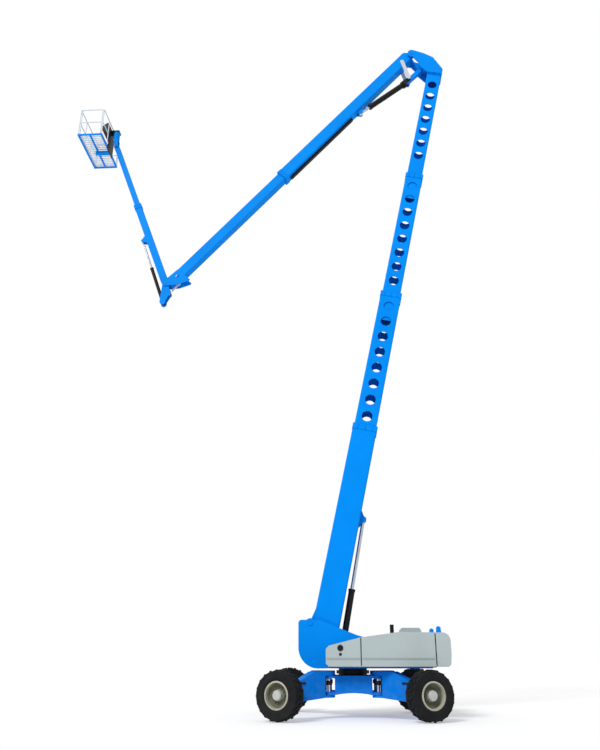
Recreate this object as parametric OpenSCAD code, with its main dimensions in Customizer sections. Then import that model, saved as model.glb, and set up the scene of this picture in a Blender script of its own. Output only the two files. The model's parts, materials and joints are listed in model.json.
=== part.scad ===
// Articulating boom lift with a telescoping lower boom, folding upper boom and jib.
// The machine faces -X with its platform, its tail is at +X, and it stands on z = 0.
// The frame's origin lies on the ground under the middle of the whole machine.

/* [Stance] */
// Distance from the origin to the slew axis along X
slew_x = 2680; // [2600:10:2760]
// Outer diameter of a tyre over its lugs
tyre_d = 1155; // [1120:5:1190]
// Width of a tyre
tyre_w = 445; // [400:5:460]
// Diameter of the rim inside the tyre's bead
rim_d = 640; // [600:5:680]
// Distance from the slew axis to a wheel's centre along X
wheel_x = 1780; // [1720:5:1840]
// Distance from the slew axis to a wheel's centre along Y
wheel_y = 1750; // [1700:5:1800]
// Angle by which each wheel is turned out of the straight-ahead line
steer_deg = 24; // [20:1:28]
// Distance from a wheel's middle plane to its kingpin
kingpin_offset = 400; // [390:5:430]
// Distance from the slew axis to a leg's pivot along X
leg_pivot_x = 620; // [600:5:650]
// Distance from the slew axis to a leg's pivot along Y
leg_pivot_y = 660; // [640:5:690]

/* [Chassis] */
// Half the length of the chassis box
chassis_half_x = 470; // [450:5:480]
// Half the width of the chassis box
chassis_half_y = 800; // [780:5:830]
// Height of the chassis box's underside
chassis_bottom = 543; // [530:1:560]
// Height of the chassis box's top
chassis_top = 987; // [970:1:1000]
// Thickness of the chassis lugs that hold the leg pins
lug_t = 60; // [50:1:70]
// Radius of the lug plates round a leg pin
lug_r = 150; // [130:5:160]
// Diameter of the leg pins
leg_pin_d = 110; // [90:5:120]
// Height of a leg's top at its pivot
leg_top = 1090; // [1075:1:1100]
// Height of a leg's top at its kingpin
leg_tip_top = 830; // [815:1:850]
// Height of a leg's underside at its kingpin
leg_tip_bottom = 400; // [390:1:410]
// Width of a leg at its root
leg_w = 300; // [270:5:310]
// Width of a leg at its tip
leg_tip_w = 250; // [230:5:260]
// Diameter of the kingpins
kingpin_d = 120; // [100:5:130]
// Diameter of the drive hub inside a rim
hub_d = 300; // [260:5:330]
// Diameter of the slew ring
slew_d = 860; // [800:10:900]
// Height of the slew ring's top
slew_top = 1150; // [1140:1:1160]

/* [Turntable] */
// Distance between the insides of the two riser plates
well_w = 820; // [780:5:840]
// Thickness of a riser plate
riser_t = 40; // [30:1:50]
// Distance from the slew axis to the lower boom's pivot, towards -X
lower_pivot_x = 1100; // [1080:5:1120]
// Height of the lower boom's pivot
lower_pivot_z = 2260; // [2240:5:2280]
// Diameter of the boom pivot pins
boom_pin_d = 120; // [100:5:130]
// Height of the deck's top
deck_top = 1200; // [1190:1:1210]
// Half the width over the covers
cover_half_y = 1250; // [1220:5:1270]
// Wall of the covers and hoods
cover_wall = 40; // [30:1:50]
// Distance from the slew axis to the front cover's nose, towards -X
cover_nose_x = 680; // [660:5:700]
// Distance from the slew axis to the seam between front cover and hood
seam_x = 210; // [190:5:230]
// Distance from the slew axis to the seam between hood and counterweight
tail_seam_x = 2045; // [2030:5:2060]
// Distance from the slew axis to the tail's end
tail_x = 2430; // [2400:5:2450]
// Height of the counterweight's channel floor under the stowed boom
channel_z = 1370; // [1350:5:1380]

/* [Lower boom] */
// Elevation of the lower boom
lower_deg = 77.5; // [75:0.5:80]
// Distance from the lower boom's pivot down to its axis
lower_drop = 420; // [410:5:430]
// Depth of the base section
lower_depth = 710; // [700:2:716]
// Width of the base section
lower_width = 620; // [610:2:626]
// Wall of the lower boom's tubes
lower_wall = 20; // [16:1:22]
// Distance from the pivot to the base section's tip
base_tip = 5745; // [5725:5:5765]
// Length of the second section outside the base
second_out = 4505; // [4500:5:4520]
// Length of the third section outside the second
third_out = 4660; // [4650:5:4680]
// Length of the fourth section outside the third
fourth_out = 4500; // [4480:5:4510]
// Length of each inner section that stays inside its outer one
lower_overlap = 1000; // [950:10:1000]
// Length of the wear collar at a section's tip
collar_len = 170; // [150:5:200]
// Height of the wear collar above its tube
collar_rise = 14; // [10:1:16]
// Gap between sliding sections at the wear collar
slide_gap = 0.5; // [0.3:0.1:0.8]
// Diameter of the round holes in the boom's sides
boom_hole_d = 320; // [280:5:330]
// Distance between the holes along the boom
boom_hole_pitch = 530; // [500:5:560]
// Distance from a tip to the first hole
boom_hole_margin = 520; // [500:5:560]
// Distance from the slew axis to the lift cylinder's base, towards -X
lift_base_x = 330; // [320:5:340]
// Height of the lift cylinder's base
lift_base_z = 1290; // [1280:5:1300]
// Place of the lift cylinder's eye along the lower boom
lift_eye_u = 3038; // [3020:2:3050]
// Drop of the lift cylinder's eye below the lower boom's pivot
lift_eye_drop = 870; // [865:1:880]
// Diameter of the lift cylinder's barrel
lift_barrel_d = 170; // [150:2:175]
// Length of the lift cylinder's barrel from its base pin
lift_barrel_len = 1900; // [1880:5:1920]
// Diameter of the lift cylinder's rod
lift_rod_d = 100; // [90:2:105]

/* [Elbow] */
// Place of the upper boom's pivot along the lower boom
elbow_u = 20190; // [20170:5:20210]
// Height of the upper boom's pivot over the lower boom's pivot line
elbow_v = 540; // [520:5:550]
// Place of the knee link's pin along the lower boom
knee_u = 19725; // [19715:5:19740]
// Height of the knee link's pin over the lower boom's pivot line
knee_v = 90; // [80:5:100]
// Thickness of the elbow's cheek plates
cheek_t = 45; // [40:1:50]
// Distance between the insides of the cheek plates
cheek_gap = 484; // [480:2:490]

/* [Upper boom] */
// Slope of the upper boom below the horizontal
upper_deg = 48.5; // [47:0.5:50]
// Depth of the upper boom's outer section
upper_depth = 400; // [390:5:410]
// Width of the upper boom's outer section
upper_width = 360; // [350:5:364]
// Height of the outer section's top over its pivot
upper_rise = 320; // [310:5:330]
// Length from the pivot to the outer section's tip
upper_tip = 7050; // [7000:10:7100]
// Depth of the upper boom's inner section
upper_inner_depth = 330; // [320:5:340]
// Width of the upper boom's inner section
upper_inner_width = 300; // [290:5:310]
// Length from the pivot to the inner section's end
upper_inner_tip = 12000; // [11950:10:12020]
// Length of the inner section that stays inside
upper_overlap = 850; // [800:10:900]
// Wall of the upper boom's tubes
upper_wall = 12; // [10:1:14]
// Place of the jib's pivot along the upper boom
jib_pivot_s = 12630; // [12610:5:12650]
// Height of the jib's pivot over the upper boom's pivot line
jib_pivot_t = 244; // [235:1:250]
// Place of the knee bars' pin along the upper boom
bars_s = 483; // [475:1:490]
// Height of the knee bars' pin over the upper boom's pivot line
bars_t = 64; // [55:1:75]
// Place of the knee's common pin along the upper boom
knee_s = 912; // [905:1:920]
// Drop of the knee's common pin below the upper boom's pivot line
knee_drop = 592; // [580:1:600]
// Place of the upper cylinder's eye along the upper boom
upper_eye_s = 3125; // [3110:5:3140]
// Drop of the upper cylinder's eye below the upper boom's pivot line
upper_eye_drop = 175; // [170:1:180]
// Diameter of the upper cylinder's barrel
upper_barrel_d = 190; // [170:2:195]
// Length of the upper cylinder's barrel from the common pin
upper_barrel_len = 1850; // [1840:2:1860]
// Diameter of the upper cylinder's rod
upper_rod_d = 90; // [80:2:100]

/* [Jib] */
// Direction of the jib above the +X axis
jib_deg = 111; // [109:0.5:113]
// Length from the jib's pivot to the platform's pivot
jib_len = 6150; // [6100:10:6200]
// Length from the jib's pivot to the outer tube's end
jib_outer_tip = 3390; // [3350:10:3420]
// Depth of the jib's outer tube
jib_depth = 240; // [230:5:250]
// Width of the jib's outer tube
jib_width = 170; // [164:2:172]
// Depth of the jib's inner tube
jib_inner_depth = 190; // [180:5:195]
// Width of the jib's inner tube
jib_inner_width = 130; // [124:2:134]
// Wall of the jib's tubes
jib_wall = 9; // [8:1:10]
// Place of the jib cylinder's eye along the jib
jib_eye_s = 1910; // [1900:5:1920]
// Distance of the jib cylinder's eye from the jib's axis
jib_eye_t = 232; // [225:1:240]
// Drop of the jib cylinder's base below the jib's pivot
bell_drop = 660; // [650:5:670]
// Distance of the jib cylinder's base from the jib's pivot, towards -X
bell_back = 49; // [45:1:55]
// Diameter of the jib cylinder's barrel
jib_barrel_d = 110; // [100:2:120]
// Length of the jib cylinder's barrel
jib_barrel_len = 1400; // [1380:5:1410]
// Diameter of the jib cylinder's rod
jib_rod_d = 60; // [50:2:66]
// Length of the level cylinder's barrel
level_barrel_len = 345; // [338:1:348]
// Diameter of the level cylinder's barrel
level_barrel_d = 66; // [60:2:70]
// Diameter of the level cylinder's rod
level_rod_d = 34; // [30:1:38]

/* [Platform] */
// Length of the platform across the machine
platform_len = 1830; // [1780:5:1860]
// Depth of the platform along the machine
platform_depth = 860; // [840:5:880]
// Height of the platform's floor frame over the ground
platform_z = 18330; // [18320:5:18340]
// Height of the guard rails over the floor frame's underside
rail_h = 1120; // [1100:5:1140]
// Diameter of the guard rails
rail_d = 36; // [32:1:40]
// Distance from the platform's pivot to its back edge
platform_gap = 246; // [240:2:260]
// Size of the floor frame's square tube
frame_tube = 50; // [40:2:60]

/* [Hidden] */
$fn = 64;
hub_z = tyre_d / 2;
pin_gap = 0.3;
run_gap = 5;
plate_gap = 10;
hull_fn = 32;
near = -1;
far = 1;
left = -1;
right = 1;

// Ground gear worked out from the stance
kingpin = [wheel_x - kingpin_offset * sin(steer_deg), wheel_y - kingpin_offset * cos(steer_deg)];
leg_vec = kingpin - [leg_pivot_x, leg_pivot_y];
leg_len = norm(leg_vec);
leg_deg = atan2(leg_vec[1], leg_vec[0]);
leg_fork_low = chassis_bottom - run_gap;
leg_fork_high = chassis_top + run_gap;
leg_root_low = leg_fork_low - lug_t + run_gap;
leg_web_x = lug_r + 60;
fork_t = 60;
boss_r = leg_tip_w / 2 - run_gap;

// Turntable worked out from the well
riser_in = well_w / 2;
riser_out = riser_in + riser_t;
pivot_boss_r = 125;
cover_low = deck_top + run_gap;
cover_in = riser_out;
hood_gap = run_gap;
hood_hinge_y = riser_out + 25;
hood_hinge_z = 1880;
hood_in = riser_out + 45;
hinge_pin_d = 20;
hinge_x = [600, 1600];
riser_top = 1850;
hood_tops = [[seam_x, 1888], [1190, 2015], [tail_seam_x, 1998]];
cover_tops = [[-cover_nose_x, 1610], [-cover_nose_x + 75, 1690], [seam_x, 1888]];
tail_top = 1998;
foot_round = 70;
eye_x = 2210;
eye_y = 750;
eye_z = 2105;
eye_r = 60;
eye_t = 40;
stack_x = 1130;
stack_z = 2022;
stack_d = 110;

// Lower boom worked out from its sections
lower_depths = [for (cut = [0, 60, 140, 200]) lower_depth - cut];
lower_widths = [for (cut = [0, 60, 130, 200]) lower_width - cut];
lower_tips = [base_tip, base_tip + second_out, base_tip + second_out + third_out,
    base_tip + second_out + third_out + fourth_out];
lower_pivot = [-lower_pivot_x, lower_pivot_z];
lower_root = -300;
lower_top = -lower_drop + lower_depths[0] / 2;
lower_belly = -lower_drop - lower_depths[0] / 2;
lift_base = [-lift_base_x, lift_base_z];
lift_eye_r = 80;
lift_eye_w = lift_barrel_d + 10;
lift_pin_d = 80;
lift_lug_t = 40;
function spin(p, a) = [p[0] * cos(a) - p[1] * sin(a), p[0] * sin(a) + p[1] * cos(a)];
function lower_point(u, v) = lower_pivot + spin([u, v], lower_deg);
lift_eye = lower_point(lift_eye_u, -lift_eye_drop);
lift_deg = atan2(lift_eye[1] - lift_base[1], lift_eye[0] - lift_base[0]);
lift_len = norm(lift_eye - lift_base);
elbow = lower_point(elbow_u, elbow_v);
knee_pin = lower_point(knee_u, knee_v);

// Upper boom worked out from the elbow
function upper_point(s, t) = elbow + spin([-s, t], upper_deg);
upper_mid = upper_rise - upper_depth / 2;
upper_low = upper_rise - upper_depth;
common_pin = upper_point(knee_s, -knee_drop);
bars_pin = upper_point(bars_s, bars_t);
upper_eye = upper_point(upper_eye_s, -upper_eye_drop);
upper_cyl_deg = atan2(upper_eye[1] - common_pin[1], upper_eye[0] - common_pin[0]);
upper_cyl_len = norm(upper_eye - common_pin);
knee_deg = atan2(common_pin[1] - knee_pin[1], common_pin[0] - knee_pin[0]);
knee_len = norm(common_pin - knee_pin);
bars_deg = atan2(common_pin[1] - bars_pin[1], common_pin[0] - bars_pin[0]);
bars_len = norm(common_pin - bars_pin);
ear_in = upper_width / 2 - 50;
clevis_in = 85;
clevis_t = 40;
bar_in = upper_width / 2 + plate_gap;
bar_t = 40;
knee_pin_d = 80;

// Jib and bellcrank worked out from the jib's pivot
jib_pivot = upper_point(jib_pivot_s, jib_pivot_t);
function jib_point(s, t) = jib_pivot + spin([s, t], jib_deg);
jib_base = jib_pivot + [-bell_back, -bell_drop];
jib_eye = jib_point(jib_eye_s, jib_eye_t);
jib_cyl_deg = atan2(jib_eye[1] - jib_base[1], jib_eye[0] - jib_base[0]);
jib_cyl_len = norm(jib_eye - jib_base);
level_eye = jib_pivot + [121, -334];
level_base_s = 12300;
level_base_t = -54;
level_base = upper_point(level_base_s, level_base_t);
level_deg = atan2(level_eye[1] - level_base[1], level_eye[0] - level_base[0]);
level_len = norm(level_eye - level_base);
bell_in = jib_width / 2 + run_gap;
bell_t = 25;
nose_in = bell_in + bell_t + run_gap;
nose_t = upper_inner_width / 2 - nose_in;
tip = jib_point(jib_len, 0);

// Platform worked out from the jib's tip
rotator_x = tip[0] - 50;
rotator_r = 110;
rotator_low = platform_z + 470;
rotator_high = rotator_low + 330;
back_x = tip[0] - platform_gap;
front_x = back_x - platform_depth;
floor_z = platform_z + frame_tube;
rail_top = platform_z + rail_h;
rail_mid = platform_z + rail_h / 2;
half_len = platform_len / 2;
beam_h = 110;
gate_gap = 14;
gate_x = front_x + rail_d * 1.5 + gate_gap;
gate_y = -half_len + rail_d / 2;
post_ratio = 0.9;
bracket_in = jib_inner_width / 2 + 20;
bracket_t = 25;

boom_blue = [0.02, 0.42, 0.86];
deep_blue = [0.02, 0.33, 0.74];
cover_grey = [0.68, 0.72, 0.73];
steel_black = [0.06, 0.06, 0.07];
rod_silver = [0.78, 0.79, 0.8];
rubber = [0.05, 0.05, 0.05];
rim_beige = [0.6, 0.6, 0.53];
rail_pale = [0.8, 0.84, 0.88];

// Shared shapes

// Draws its children in the slew axis's frame
module slewed() {
    translate([slew_x, 0, 0]) children();
}

// Extrudes an outline drawn in x and z across the machine
module across(w, y = 0) {
    translate([0, y, 0]) rotate([90, 0, 0]) linear_extrude(w, center = true) children();
}

// Extrudes an outline as a pair of plates with their insides at y_in
module pair(y_in, t) {
    for (s = [-1, 1]) across(t, s * (y_in + t / 2)) children();
}

// A round bar across the machine at x, z
module cross_pin(p, d, w, y = 0) {
    translate([p[0], y, p[1]]) rotate([90, 0, 0]) cylinder(d = d, h = w, center = true);
}

// A flat bar with round ends between two points
module bar(p, q, w) {
    lean = atan2(q[1] - p[1], q[0] - p[0]);
    polygon([
        for (a = [-90:15:90]) q + w / 2 * [cos(lean + a), sin(lean + a)],
        for (a = [90:15:270]) p + w / 2 * [cos(lean + a), sin(lean + a)]]);
}

// A rectangle about the origin with round corners
module soft_rect(w, h, r) {
    square([w - 2 * r, h], center = true);
    square([w, h - 2 * r], center = true);
    for (x = [-1, 1], y = [-1, 1]) translate([x * (w / 2 - r), y * (h / 2 - r)]) circle(r = r, $fn = hull_fn);
}

// A bar of rectangular section along X from x0 to x1
module beam(x0, x1, width, depth, r) {
    translate([x0, 0, 0]) rotate([90, 0, 90]) linear_extrude(x1 - x0) soft_rect(width, depth, r);
}

// A telescoping tube along X with a wear collar at its tip that fits the next section
module boom_tube(x0, x1, width, depth, wall, next_w, next_d) {
    difference() {
        union() {
            beam(x0, x1, width, depth, 2 * wall);
            beam(x1 - collar_len, x1, width + 2 * collar_rise, depth + 2 * collar_rise, 2 * wall);
        }
        beam(x0 - 1, x1 - collar_len, width - 2 * wall, depth - 2 * wall, wall);
        beam(x1 - collar_len - 1, x1 + 1, next_w + 2 * slide_gap, next_d + 2 * slide_gap, wall);
    }
}

// A telescoping tube along X without a collar
module end_tube(x0, x1, width, depth, wall) {
    difference() {
        beam(x0, x1, width, depth, 2 * wall);
        beam(x0 - 1, x1 + 1, width - 2 * wall, depth - 2 * wall, wall);
    }
}

// A hydraulic barrel along +X from its eye, hollow for the rod
module barrel(len, d, rod_d, eye_r, eye_w, pin_d) {
    neck = eye_r * 0.8;
    difference() {
        union() {
            cross_pin([0, 0], 2 * eye_r, eye_w);
            translate([neck, 0, 0]) rotate([0, 90, 0]) cylinder(d = d, h = len - neck);
            translate([0, -eye_w / 2, -eye_r]) cube([eye_r + d / 6, eye_w, 2 * eye_r]);
            translate([len - d * 0.4, 0, 0]) rotate([0, 90, 0]) cylinder(d = d * 1.12, h = d * 0.4);
        }
        cross_pin([0, 0], pin_d + 2 * pin_gap, eye_w + 2);
        translate([eye_r + d * 0.25, 0, 0]) rotate([0, 90, 0])
            cylinder(d = rod_d * 1.2, h = len - eye_r - d * 0.65);
        translate([eye_r, 0, 0]) rotate([0, 90, 0]) cylinder(d = rod_d + 4 * pin_gap, h = len);
    }
}

// A hydraulic rod along +X from x0 to its eye at x1
module rod(x0, x1, d, eye_r, eye_w) {
    translate([x0, 0, 0]) rotate([0, 90, 0]) cylinder(d = d, h = x1 - x0 - eye_r * 0.6);
    cross_pin([x1, 0], 2 * eye_r, eye_w);
}

// Ground gear

// Mirrors a corner drawn at +X, +Y to its side and end
module corner(end, side) {
    slewed() mirror([end < 0 ? 1 : 0, 0, 0]) mirror([0, side < 0 ? 1 : 0, 0]) children();
}

module leg_frame() {
    translate([leg_pivot_x, leg_pivot_y, 0]) rotate([0, 0, leg_deg]) children();
}

module knuckle_frame() {
    translate([kingpin[0], kingpin[1], 0]) rotate([0, 0, -steer_deg]) children();
}

module wheel_frame() {
    translate([wheel_x, wheel_y, hub_z]) rotate([0, 0, -steer_deg]) rotate([-90, 0, 0]) children();
}

module chassis() {
    arch_r = 2400;
    color(deep_blue) slewed() difference() {
        union() {
            translate([-chassis_half_x, -chassis_half_y, chassis_bottom])
                cube([2 * chassis_half_x, 2 * chassis_half_y, chassis_top - chassis_bottom]);
            for (x = [-1, 1], y = [-1, 1], z = [chassis_bottom, chassis_top - lug_t]) {
                translate([x * leg_pivot_x, y * leg_pivot_y, z]) cylinder(r = lug_r, h = lug_t);
                translate([x * leg_pivot_x / 2, y * leg_pivot_y, z + lug_t / 2])
                    cube([leg_pivot_x, 2 * lug_r, lug_t], center = true);
            }
        }
        for (x = [-1, 1], y = [-1, 1])
            translate([x * leg_pivot_x, y * leg_pivot_y, 0])
                cylinder(d = leg_pin_d + 2 * pin_gap, h = leg_top);
        cross_pin([0, chassis_bottom + 45 - arch_r], 2 * arch_r, 3 * chassis_half_y);
    }
}

module slew_ring() {
    color(steel_black) slewed() translate([0, 0, chassis_top]) difference() {
        union() {
            cylinder(d = slew_d - 120, h = slew_top - chassis_top - pin_gap);
            translate([0, 0, 40]) cylinder(d = slew_d, h = 80);
        }
        translate([0, 0, -1]) cylinder(d = slew_d - 360, h = slew_top);
    }
}

module leg(end, side) {
    flat = leg_len * 0.42;
    color(deep_blue) corner(end, side) leg_frame() difference() {
        union() {
            intersection() {
                across(2 * leg_w) polygon([
                    [leg_web_x, leg_root_low], [leg_len - boss_r - 40, leg_tip_bottom],
                    [leg_len - boss_r - 40, leg_tip_top], [flat, leg_top], [leg_web_x, leg_top]]);
                linear_extrude(leg_top + 1) polygon([
                    [0, -leg_w / 2], [leg_len, -leg_tip_w / 2], [leg_len, leg_tip_w / 2], [0, leg_w / 2]]);
            }
            translate([0, 0, leg_fork_high]) leg_plate(leg_top - leg_fork_high);
            translate([0, 0, leg_root_low]) leg_plate(leg_fork_low - leg_root_low);
            for (z = [leg_tip_bottom, leg_tip_top - fork_t]) translate([leg_len, 0, z]) {
                cylinder(d = leg_tip_w, h = fork_t);
                translate([-boss_r - 41, -leg_tip_w / 2, 0]) cube([boss_r + 41, leg_tip_w, fork_t]);
            }
            translate([0, 0, leg_root_low]) cylinder(d = leg_pin_d, h = leg_top - leg_root_low);
        }
        translate([leg_len, 0, 0]) cylinder(d = kingpin_d + 2 * pin_gap, h = leg_top);
    }
}

module leg_plate(t) {
    cylinder(d = leg_w, h = t);
    translate([0, -leg_w / 2, 0]) cube([leg_web_x + 1, leg_w, t]);
}

module knuckle(end, side) {
    low = leg_tip_bottom + fork_t + run_gap;
    high = leg_tip_top - fork_t - run_gap;
    flange_y = kingpin_offset - tyre_w / 2 + 30;
    color(steel_black) corner(end, side) knuckle_frame() {
        translate([0, 0, leg_tip_bottom - 10]) cylinder(d = kingpin_d, h = leg_tip_top - leg_tip_bottom + 20);
        translate([0, 0, low]) cylinder(r = boss_r - 20, h = high - low);
        translate([0, 0, hub_z]) rotate([-90, 0, 0]) {
            cylinder(d = hub_d * 0.7, h = kingpin_offset);
            translate([0, 0, flange_y]) cylinder(d = hub_d, h = kingpin_offset + 20 - flange_y);
            cylinder(d = hub_d / 3, h = kingpin_offset + 90);
        }
    }
}

module rim(end, side) {
    half = tyre_w / 2 - 40;
    lip = rim_d / 2 - 36;
    seat = rim_d / 2;
    spindle = hub_d / 6 + pin_gap;
    color(rim_beige) corner(end, side) wheel_frame() rotate_extrude() {
        polygon([[lip, -half], [seat, -half], [seat, half], [lip, half + 12], [lip - 4, half + 2], [lip, half - 24],
            [lip - 8, 62], [190, 44], [150, 60], [120, 62], [spindle, 62], [spindle, 30], [190, 30], [lip - 22, 34]]);
        polygon([[spindle, 61], [120, 61], [118, 150], [96, 176], [0, 184], [0, 95], [spindle, 95]]);
    }
}

module tyre(end, side) {
    bead = rim_d / 2;
    half = tyre_w / 2;
    crown = tyre_d / 2;
    color(rubber) corner(end, side) wheel_frame() rotate_extrude() polygon([
        [bead, -half + 40], [bead + 60, -half + 8], [bead + 130, -half], [crown - 60, -half + 12],
        [crown - 14, -half + 52], [crown, -half * 0.5], [crown, half * 0.5], [crown - 14, half - 52],
        [crown - 60, half - 12], [bead + 130, half], [bead + 60, half - 8], [bead, half - 40]]);
}

// Turntable

module riser_outline() {
    sweep_r = 510;
    front = -1410;
    polygon([
        [front + 85, 2345], [-830, 2345], [-327, 2135], [127, 1962], [560, riser_top], [tail_seam_x, riser_top],
        [tail_seam_x, deck_top], [front + sweep_r, slew_top + pin_gap],
        for (a = [265:-5:185]) [front + sweep_r + sweep_r * cos(a), slew_top + pin_gap + sweep_r * (1 + sin(a))],
        [front, slew_top + sweep_r], [front, 2260]]);
    translate([front + 85, 2260]) circle(r = 85);
    translate(lower_pivot) circle(r = pivot_boss_r);
}

module turntable() {
    pan_in = cover_half_y - cover_wall - 6;
    pan_t = 16;
    color(boom_blue) slewed() {
        pair(riser_in, riser_t) riser_outline();
        translate([0, 0, slew_top + pin_gap]) cylinder(d = slew_d, h = deck_top - slew_top - pin_gap);
        translate([-900, -riser_out, deck_top - 45]) cube([tail_seam_x + 900, 2 * riser_out, 45]);
        for (s = [-1, 1]) translate([-cover_nose_x + cover_wall + 6, s > 0 ? riser_in : -pan_in, deck_top - pan_t])
            cube([tail_seam_x + cover_nose_x - cover_wall - 6, pan_in - riser_in, pan_t]);
        cross_pin(lower_pivot, boom_pin_d, 2 * riser_out + 40);
        for (s = [-1, 1], x = hinge_x) translate([x, s * hood_hinge_y, hood_hinge_z]) {
            translate([-30, s > 0 ? -25 - riser_t / 2 : -12, -70]) cube([30, 37 + riser_t / 2, 82]);
            translate([-1, 0, 0]) rotate([0, 90, 0]) cylinder(d = hinge_pin_d, h = 71);
        }
        pair(lift_eye_w / 2 + run_gap, lift_lug_t) {
            translate(lift_base) circle(r = lift_eye_r);
            translate([lift_base[0] - 110, deck_top - 1]) square([220, lift_base[1] - deck_top]);
        }
        cross_pin(lift_base, lift_pin_d, lift_eye_w + 2 * (run_gap + lift_lug_t) + 20);
    }
}

module counterweight() {
    round_r = 190;
    color(cover_grey) slewed() difference() {
        across(2 * cover_half_y) {
            polygon([[tail_seam_x, deck_top], [tail_x - 85, deck_top], [tail_x - 25, deck_top + 55],
                [tail_x, 1480], [tail_x, tail_top - round_r], [tail_x - round_r, tail_top], [tail_seam_x, tail_top]]);
            translate([tail_x - round_r, tail_top - round_r]) circle(r = round_r);
        }
        translate([tail_seam_x - 1, -riser_in, channel_z]) cube([tail_x, 2 * riser_in, tail_top]);
    }
}

// A pair of blue lugs on top of the counterweight
module lifting_lugs() {
    foot = 70;
    color(boom_blue) slewed() for (s = [-1, 1]) across(eye_t, s * eye_y) {
        translate([eye_x, eye_z]) circle(r = eye_r);
        polygon([[eye_x - foot, tail_top], [eye_x + foot, tail_top], [eye_x + eye_r - 3, eye_z],
            [eye_x - eye_r + 3, eye_z]]);
    }
}

module engine() {
    color(steel_black) slewed() translate([640, riser_out + 130, deck_top]) cube([800, 450, 450]);
}

// Outline of a cover from its bottom edge over the points of its top, set in by the wall
module cover_outline(tops, inset, cut = 0) {
    last = len(tops) - 1;
    foot = tops[0][0] + inset;
    low = cover_low - (inset > 0 ? 1 : 0);
    polygon([
        for (p = cut > 0 ? [[foot + cut, low], [foot, low + cut]] : [[foot, low]]) p,
        for (p = tops) [p[0] + (p == tops[0] ? inset : p == tops[last] ? -inset : 0), p[1] - inset],
        [tops[last][0] - inset, low]]);
}

module cover_shell(side, tops) {
    outer = cover_half_y - cover_in;
    inner = outer - cover_wall;
    difference() {
        across(outer, side * (cover_in + outer / 2)) cover_outline(tops, 0, foot_round);
        across(inner + 1, side * (cover_in + inner / 2 - 0.5)) cover_outline(tops, cover_wall, foot_round);
    }
}

module cover(side) {
    color(cover_grey) slewed() cover_shell(side, cover_tops);
}

// Height of the hood's top at a place along X
function hood_top(x) = lookup(x, hood_tops);

module hood(side) {
    tops = [for (i = [0:2]) hood_tops[i] + [i == 0 ? hood_gap : i == 2 ? -hood_gap : 0, 0]];
    outer = cover_half_y - hood_in;
    inner = outer - cover_wall;
    color(cover_grey) slewed() {
        difference() {
            across(outer, side * (hood_in + outer / 2)) cover_outline(tops, 0);
            across(inner + 1, side * (hood_in + inner / 2 - 0.5)) cover_outline(tops, cover_wall);
        }
        for (x = hinge_x) hood_knuckle(x, side);
        if (side == far) {
            across(420, side * (hood_in + 380)) polygon([
                [1320, hood_top(1320) - 10], [1345, 2130], [1400, 2180], [1860, 2180], [1915, 2130],
                [1940, hood_top(1940) - 10]]);
            translate([stack_x, hood_in + 380, stack_z - 40]) cylinder(d = stack_d + 30, h = 40);
        }
    }
}

// A hinge eye hanging from the hood's roof onto the turntable's hinge pin
module hood_knuckle(x, side) {
    eye_r = 14;
    reach = 70;
    eye_w = 55;
    translate([x + 5, side * hood_hinge_y, hood_hinge_z]) difference() {
        union() {
            rotate([0, 90, 0]) cylinder(r = eye_r, h = eye_w);
            translate([0, side > 0 ? 0 : -reach, -eye_r]) cube([eye_w, reach, eye_r + 12]);
            translate([0, side > 0 ? 22 : -reach, 0])
                cube([eye_w, reach - 22, hood_top(x) - cover_wall + 5 - hood_hinge_z]);
        }
        translate([-1, 0, 0]) rotate([0, 90, 0]) cylinder(d = hinge_pin_d + 2 * pin_gap, h = eye_w + 2);
    }
}

module exhaust_stack() {
    color(steel_black) slewed() translate([stack_x, hood_in + 380, stack_z]) difference() {
        cylinder(d = stack_d, h = 250);
        translate([0, 0, 30]) cylinder(d = stack_d - 16, h = 250);
    }
}

// Lower boom

module lower_frame() {
    slewed() translate([lower_pivot[0], 0, lower_pivot[1]]) rotate([0, -lower_deg, 0]) children();
}

module section_frame() {
    lower_frame() translate([0, 0, -lower_drop]) children();
}

module lift_frame() {
    slewed() translate([lift_base[0], 0, lift_base[1]]) rotate([0, -lift_deg, 0]) children();
}

module lower_base() {
    ear_t = 60;
    ear_in = lower_widths[0] / 2 - ear_t;
    color(boom_blue) {
        section_frame()
            boom_tube(lower_root, lower_tips[0], lower_widths[0], lower_depths[0], lower_wall,
                lower_widths[1], lower_depths[1]);
        lower_frame() {
            pair(ear_in, ear_t) difference() {
                union() {
                    circle(r = pivot_boss_r);
                    polygon([[-pivot_boss_r, 0], [pivot_boss_r, 0], [430, lower_top - 10], [lower_root, lower_top - 10]]);
                }
                circle(d = boom_pin_d + 2 * pin_gap);
                translate([-pivot_boss_r - 1, lower_top - 10 - pivot_boss_r])
                    square([2 * pivot_boss_r + 2, pivot_boss_r]);
            }
            pair(70, lift_lug_t) {
                translate([lift_eye_u, -lift_eye_drop]) circle(r = 85);
                polygon([[lift_eye_u - 85, -lift_eye_drop], [lift_eye_u + 85, -lift_eye_drop],
                    [lift_eye_u + 260, lower_belly + 10], [lift_eye_u - 260, lower_belly + 10]]);
            }
            for (s = [-1, 1]) cross_pin([lift_eye_u, -lift_eye_drop], lift_pin_d, 70 + lift_lug_t - 60 - pin_gap,
                s * (70 + lift_lug_t + 60 + pin_gap) / 2);
        }
    }
}

// A sliding section of the lower boom with its row of round holes
module lower_section(i, holes) {
    start = lower_tips[i - 1] - lower_overlap;
    last = i == len(lower_tips) - 1;
    w = lower_widths[i];
    d = lower_depths[i];
    color(boom_blue) section_frame() difference() {
        if (last) end_tube(start, lower_tips[i], w, d, lower_wall);
        else boom_tube(start, lower_tips[i], w, d, lower_wall, lower_widths[i + 1], lower_depths[i + 1]);
        for (k = [0:holes - 1])
            cross_pin([lower_tips[i] - boom_hole_margin - k * boom_hole_pitch, 0],
                min(boom_hole_d, d - 4 * lower_wall - 40), 2 * w);
    }
}

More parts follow.
